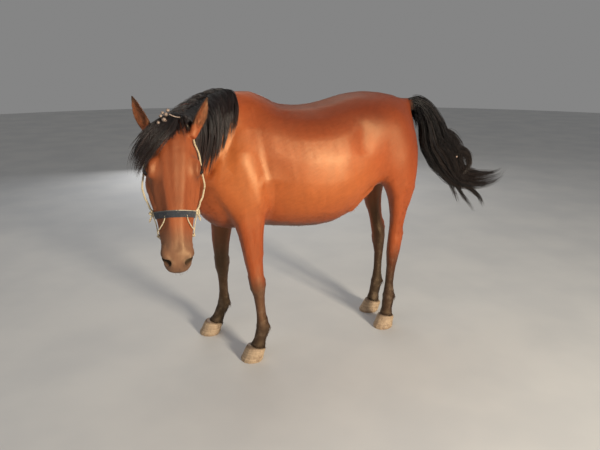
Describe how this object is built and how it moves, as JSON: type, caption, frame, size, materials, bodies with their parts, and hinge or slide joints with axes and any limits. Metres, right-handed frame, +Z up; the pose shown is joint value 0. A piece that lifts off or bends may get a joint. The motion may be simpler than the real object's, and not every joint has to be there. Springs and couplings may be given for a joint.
{
  "type": "horse",
  "caption": "Life-size standing bay horse with its neck bent to its left and head lowered, wearing a rope halter; a still model that stands on its hooves.",
  "frame": {"origin": "middle of the whole model's bounding box on the floor, z = 0 under the hooves", "axes": "+Z up; the trunk faces -X; the horse's left side, towards which it looks, is -Y"},
  "size_m": [2.4556, 1.143, 1.4583],
  "materials": {
    "coat": "short sleek bay coat",
    "points": "dark lower legs",
    "hair": "long black hair",
    "horn": "worn hoof horn, stands in for keratin",
    "eyeball": "wet and glossy",
    "webbing": "worn woven webbing",
    "rope": "worn cream rope"
  },
  "bodies": {
    "root": {"fore_left_upper": "coat", "fore_left_lower": "points", "fore_left_hoof": "horn", "fore_right_upper": "coat", "fore_right_lower": "points", "fore_right_hoof": "horn", "hind_left_upper": "coat", "hind_left_lower": "points", "hind_left_hoof": "horn", "hind_right_upper": "coat", "hind_right_lower": "points", "hind_right_hoof": "horn", "trunk": "coat", "neck": "coat", "tail": "coat", "head": "coat", "eye_left": "eyeball", "eye_right": "eyeball", "ear_left": "coat", "ear_right": "coat", "tail_hair": "hair", "halter_noseband": "webbing", "halter_crown_rope": "rope", "halter_mouth_cord": "rope", "halter_knot_left": "rope", "halter_knot_right": "rope", "forelock": "hair", "mane": "hair"}
  },
  "joints": []
}
